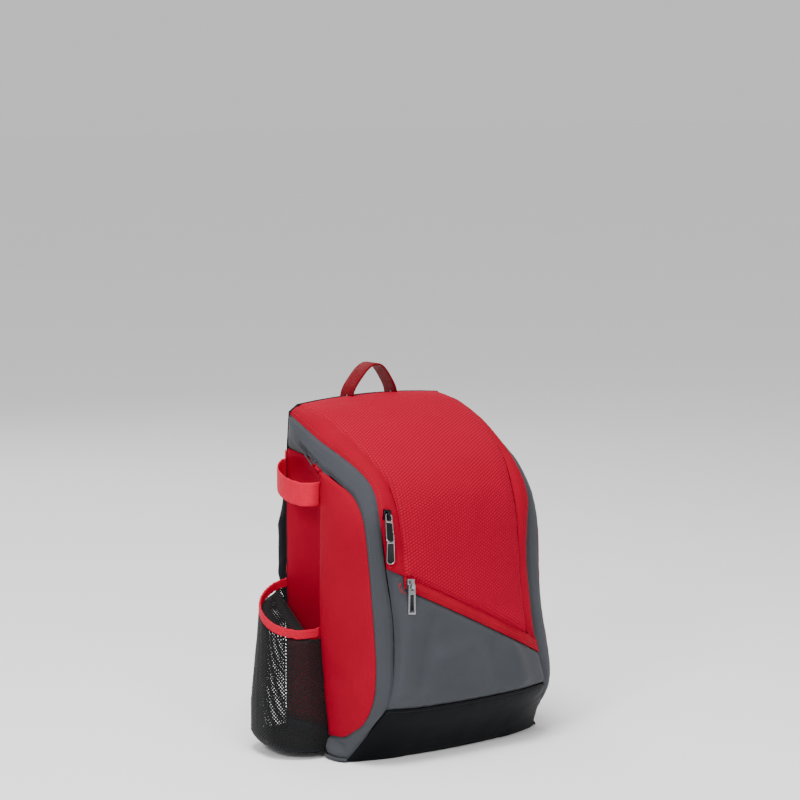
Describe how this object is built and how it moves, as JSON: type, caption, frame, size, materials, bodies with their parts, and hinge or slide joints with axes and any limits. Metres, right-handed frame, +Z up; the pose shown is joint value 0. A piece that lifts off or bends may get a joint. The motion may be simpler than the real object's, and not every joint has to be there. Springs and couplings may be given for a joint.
{
  "type": "baseball bat backpack",
  "caption": "Soft backpack with a slanting front pocket, net bat pockets and webbing bat loops on its sides, padded shoulder straps and a grab handle.",
  "frame": {"origin": "on the floor, under the middle of the base", "axes": "+Z up, the front faces -Y, the back panel is at +Y"},
  "size_m": [0.3986, 0.2625, 0.4412],
  "materials": {
    "embossed_red": "embossed polyester, satin",
    "plain_red": "plain woven polyester",
    "plain_grey": "plain woven polyester",
    "zip_tape": "woven zip tape",
    "coated_black": "coated cloth, low sheen",
    "plain_black": "woven polyester",
    "net": "knitted net",
    "red_binding": "folded elastic binding",
    "red_webbing": "woven webbing",
    "strap_cloth": "padded cloth",
    "black_webbing": "woven webbing",
    "buckle_plastic": "moulded acetal",
    "zip_metal": "polished zinc alloy"
  },
  "bodies": {
    "bag": {"lid_panel": "embossed_red", "zip_strip_left": "plain_red", "zip_strip_right": "plain_red", "front_pocket": "plain_grey", "pocket_zip": "zip_tape", "base_panel": "coated_black", "back_panel": "plain_black", "side_band_left": "plain_grey", "side_band_right": "plain_grey", "side_panel_left": "plain_red", "side_panel_right": "plain_red", "channel_panel_left": "plain_red", "channel_panel_right": "plain_red", "bat_pocket_left": "net", "bat_pocket_right": "net", "pocket_binding_left": "red_binding", "pocket_binding_right": "red_binding", "bat_strap_left": "red_webbing", "bat_strap_right": "red_webbing", "handle": "red_webbing", "shoulder_strap_left": "strap_cloth", "shoulder_strap_right": "strap_cloth", "strap_webbing_left": "black_webbing", "strap_webbing_right": "black_webbing", "strap_tab_left": "plain_black", "strap_tab_right": "plain_black", "strap_buckle_left": "buckle_plastic", "strap_buckle_right": "buckle_plastic", "main_slider_upper": "zip_metal", "main_slider_lower": "zip_metal", "pocket_slider": "zip_metal"},
    "upper_pull": {"main_pull_upper": "zip_metal"},
    "lower_pull": {"main_pull_lower": "zip_metal"},
    "pocket_pull": {"pocket_pull": "zip_metal"}
  },
  "joints": [
    {"name": "upper_pull_swing", "type": "hinge", "parent": "bag", "child": "upper_pull", "pos_m": [-0.10576, -0.0995, 0.28898], "axis": [-0.9596, 0.1887, 0.2087], "range_deg": [0, 135]},
    {"name": "lower_pull_swing", "type": "hinge", "parent": "bag", "child": "lower_pull", "pos_m": [-0.10493, -0.10238, 0.26647], "axis": [-0.9671, 0.2531, 0.0252], "range_deg": [0, 25]},
    {"name": "pocket_pull_swing", "type": "hinge", "parent": "bag", "child": "pocket_pull", "pos_m": [-0.08382, -0.11478, 0.20812], "axis": [-0.9809, 0.1772, 0.0798], "range_deg": [0, 150]}
  ]
}
